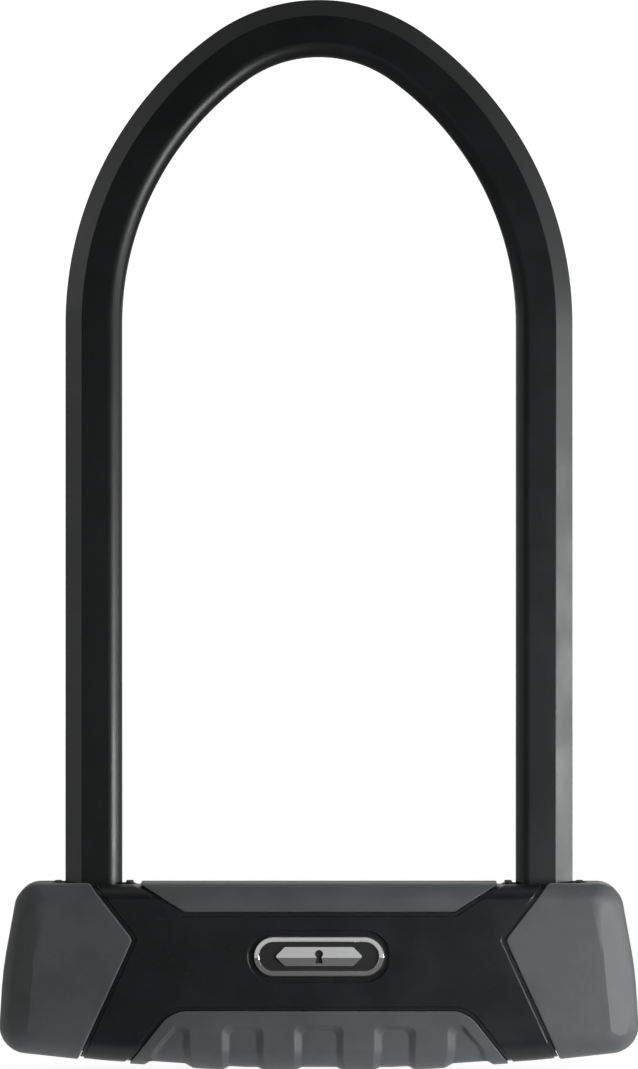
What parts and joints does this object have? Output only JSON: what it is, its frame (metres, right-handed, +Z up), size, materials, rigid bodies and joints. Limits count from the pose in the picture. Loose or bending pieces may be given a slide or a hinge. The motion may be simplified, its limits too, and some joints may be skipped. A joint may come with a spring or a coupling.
{
  "type": "bicycle u lock",
  "caption": "U-shaped bicycle lock: a sleeved steel bow closed by a crossbar with a disc cylinder and two deadbolts.",
  "frame": {"origin": "under the middle of the crossbar, on the plane its grip ribs stand on", "axes": "+Z up from the crossbar to the crown of the bow, +X along the crossbar, -Y to the front with the badge"},
  "size_m": [0.1758, 0.038, 0.2953],
  "materials": {
    "grey_soft_plastic": "soft matte",
    "black_cover_plastic": "satin",
    "black_case_plastic": "matte",
    "black_sleeve": "satin",
    "seal_rubber": "matte",
    "hardened_steel": "ground",
    "dark_steel": "oiled",
    "brass": "machined",
    "chrome": "bright"
  },
  "bodies": {
    "crossbar": {"top_strip": "grey_soft_plastic", "grip_strip": "grey_soft_plastic", "end_cap_left": "grey_soft_plastic", "end_cap_right": "grey_soft_plastic", "cross_cover_front": "black_cover_plastic", "cross_cover_rear": "black_cover_plastic", "inner_case_front": "black_case_plastic", "inner_case_rear": "black_case_plastic", "shutter_guide": "black_case_plastic", "badge_plate": "black_case_plastic", "leg_seal_left": "seal_rubber", "leg_seal_right": "seal_rubber", "housing_tube": "hardened_steel", "cylinder_carrier": "hardened_steel", "end_plate_left": "hardened_steel", "end_plate_right": "hardened_steel", "socket_block_left": "hardened_steel", "socket_block_right": "hardened_steel", "bolt_guide_left": "dark_steel", "bolt_guide_right": "dark_steel", "end_pin_left": "dark_steel", "end_pin_right": "dark_steel", "barrel_pin_left": "dark_steel", "barrel_pin_right": "dark_steel", "retaining_clip": "dark_steel", "shutter_spring": "dark_steel", "case_screw_left_1": "dark_steel", "case_screw_left_2": "dark_steel", "case_screw_right_1": "dark_steel", "case_screw_right_2": "dark_steel", "cylinder_barrel": "brass", "badge_rim": "chrome", "badge_emblem": "chrome"},
    "bow": {"shackle_bar": "hardened_steel", "shackle_sleeve": "black_sleeve"},
    "plug": {"plug_core": "brass", "face_disc": "hardened_steel", "key_disc_1": "brass", "key_disc_2": "brass", "key_disc_3": "brass", "key_disc_4": "brass", "key_disc_5": "brass", "key_disc_6": "brass", "key_disc_7": "brass", "disc_spacer_1": "dark_steel", "disc_spacer_2": "dark_steel", "disc_spacer_3": "dark_steel", "disc_spacer_4": "dark_steel", "disc_spacer_5": "dark_steel", "disc_spacer_6": "dark_steel", "side_bar": "hardened_steel", "cam_plate": "hardened_steel"},
    "bolt_left": {"deadbolt_left": "hardened_steel"},
    "bolt_right": {"deadbolt_right": "hardened_steel"},
    "shutter": {"keyhole_shutter": "black_cover_plastic"}
  },
  "joints": [
    {"name": "bow_lift", "type": "slide", "parent": "crossbar", "child": "bow", "axis": [0, 0, 1], "range_m": [0, 0.05]},
    {"name": "key_turn", "type": "hinge", "parent": "crossbar", "child": "plug", "pos_m": [0, 0, 0.02], "axis": [0, 0, 1], "range_deg": [0, 90]},
    {"name": "bolt_right_throw", "type": "slide", "parent": "crossbar", "child": "bolt_right", "axis": [1, 0, 0], "range_m": [0, 0.0055]},
    {"name": "bolt_left_throw", "type": "slide", "parent": "crossbar", "child": "bolt_left", "axis": [-1, 0, 0], "range_m": [0, 0.0055]},
    {"name": "shutter_open", "type": "slide", "parent": "crossbar", "child": "shutter", "axis": [1, 0, 0], "range_m": [0, 0.014], "stiffness_N_per_m": 30, "springref_m": -0.004, "deforming": ["shutter_spring"]}
  ],
  "couplings": [
    {"joint": "key_turn", "follows": "bolt_right_throw", "rad_per_m": 285.6},
    {"joint": "bolt_left_throw", "follows": "bolt_right_throw", "ratio": 1}
  ]
}
